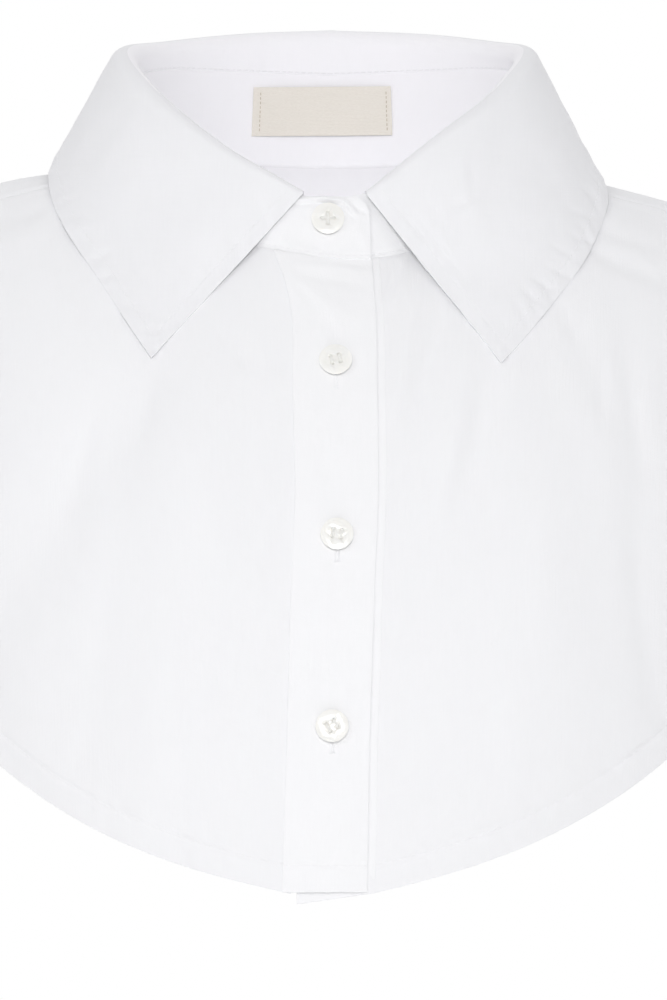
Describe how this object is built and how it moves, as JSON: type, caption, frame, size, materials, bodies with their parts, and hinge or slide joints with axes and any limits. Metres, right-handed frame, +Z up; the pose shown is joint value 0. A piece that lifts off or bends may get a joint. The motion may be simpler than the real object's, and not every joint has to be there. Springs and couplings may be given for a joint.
{
  "type": "detachable shirt collar with bib front",
  "caption": "White poplin shirt collar on a short buttoned bib, worn under a jumper or dress so that only the collar and top of a shirt show.",
  "frame": {"origin": "middle of the neck seam's ring, where the wearer's neck holds the collar", "axes": "+Z up along the wearer's neck, -Y the way the wearer faces, +X the wearer's left"},
  "size_m": [0.3304, 0.2126, 0.3016],
  "materials": {
    "poplin": "matt white woven cotton poplin with a fine upright rib",
    "tape": "matt ecru woven tape, bare",
    "button": "soft pearly off-white, slightly glossy"
  },
  "bodies": {
    "root": {"front_right": "poplin", "front_left": "poplin", "placket_top": "poplin", "placket_under": "poplin", "back": "poplin", "collar_stand": "poplin", "collar_fall": "poplin", "label": "tape", "button_1": "button", "button_2": "button", "button_3": "button", "button_4": "button"}
  },
  "joints": []
}
